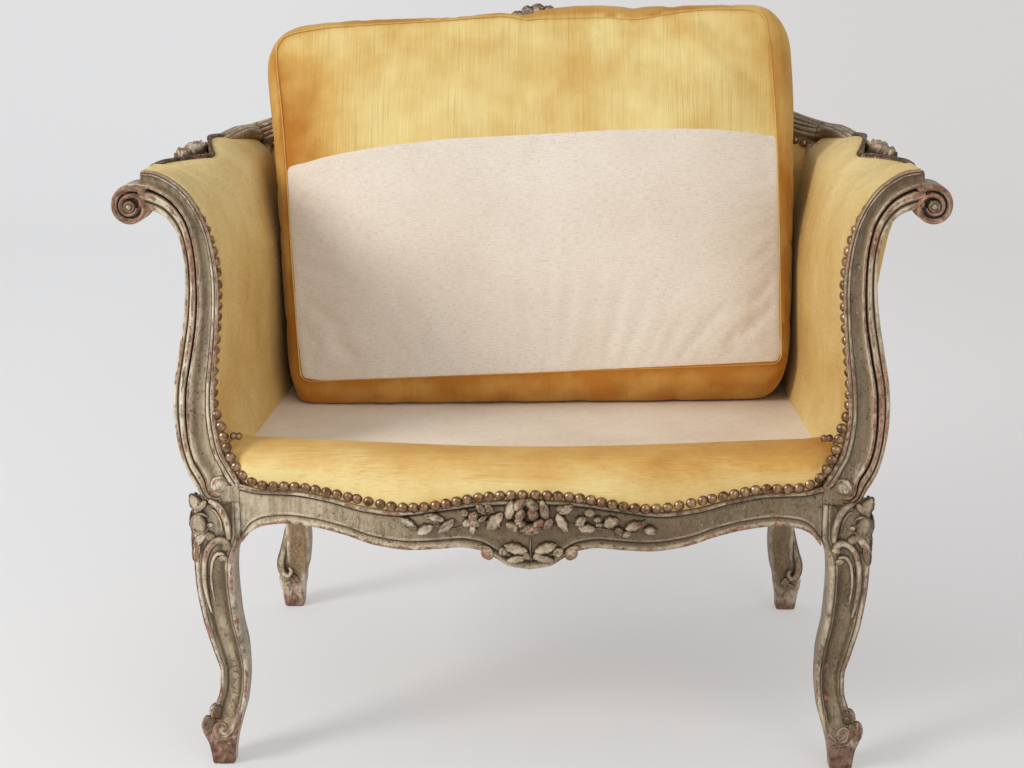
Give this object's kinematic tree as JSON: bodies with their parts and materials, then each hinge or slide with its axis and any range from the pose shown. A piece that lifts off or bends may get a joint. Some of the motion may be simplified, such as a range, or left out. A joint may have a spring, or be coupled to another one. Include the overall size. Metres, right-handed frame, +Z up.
{
  "type": "bergere chair",
  "caption": "Wide carved and painted bergere with scrolled arm posts, cabriole legs, velvet arms and back, a webbed linen seat and a loose velvet cushion stood against the back.",
  "frame": {"origin": "centre of the bounding box's base, on the floor midway between the two sides", "axes": "+X to the viewer's right across the front, +Y from the front to the back, +Z up"},
  "size_m": [0.947, 0.6266, 0.8834],
  "materials": {
    "painted_wood": "old grey-green paint, rubbed to red-brown wood on the ridges",
    "bare_wood": "unfinished beech",
    "jute": "coarse plain weave",
    "arm_velvet": "short pile, olive gold",
    "gold_velvet": "short pile with fine slubs, gold",
    "linen": "plain weave, natural"
  },
  "bodies": {
    "chair": {"front_seat_rail": "painted_wood", "crest_rail": "painted_wood", "right_front_leg": "painted_wood", "right_side_seat_rail": "painted_wood", "right_arm_post": "painted_wood", "right_arm_rail": "painted_wood", "right_rear_leg_post": "painted_wood", "left_front_leg": "painted_wood", "left_side_seat_rail": "painted_wood", "left_arm_post": "painted_wood", "left_arm_rail": "painted_wood", "left_rear_leg_post": "painted_wood", "rear_seat_rail": "bare_wood", "back_lower_rail": "bare_wood", "right_rear_corner_block": "bare_wood", "right_front_corner_block": "bare_wood", "right_arm_tacking_rail": "bare_wood", "left_rear_corner_block": "bare_wood", "left_front_corner_block": "bare_wood", "left_arm_tacking_rail": "bare_wood", "webbing_long_1": "jute", "webbing_long_2": "jute", "webbing_long_3": "jute", "webbing_long_4": "jute", "webbing_long_5": "jute", "webbing_cross_1": "jute", "webbing_cross_2": "jute", "webbing_cross_3": "jute", "webbing_cross_4": "jute", "seat_hessian": "jute", "right_arm_pad": "arm_velvet", "right_arm_outer_panel": "arm_velvet", "left_arm_pad": "arm_velvet", "left_arm_outer_panel": "arm_velvet", "back_pad": "arm_velvet", "back_outer_panel": "arm_velvet", "front_edge_roll": "gold_velvet", "seat_deck": "linen"},
    "cushion": {"seat_cushion": "gold_velvet"}
  },
  "joints": [
    {"name": "cushion_lift", "type": "slide", "parent": "chair", "child": "cushion", "axis": [0, 0, 1], "range_m": [0, 0.55]}
  ]
}
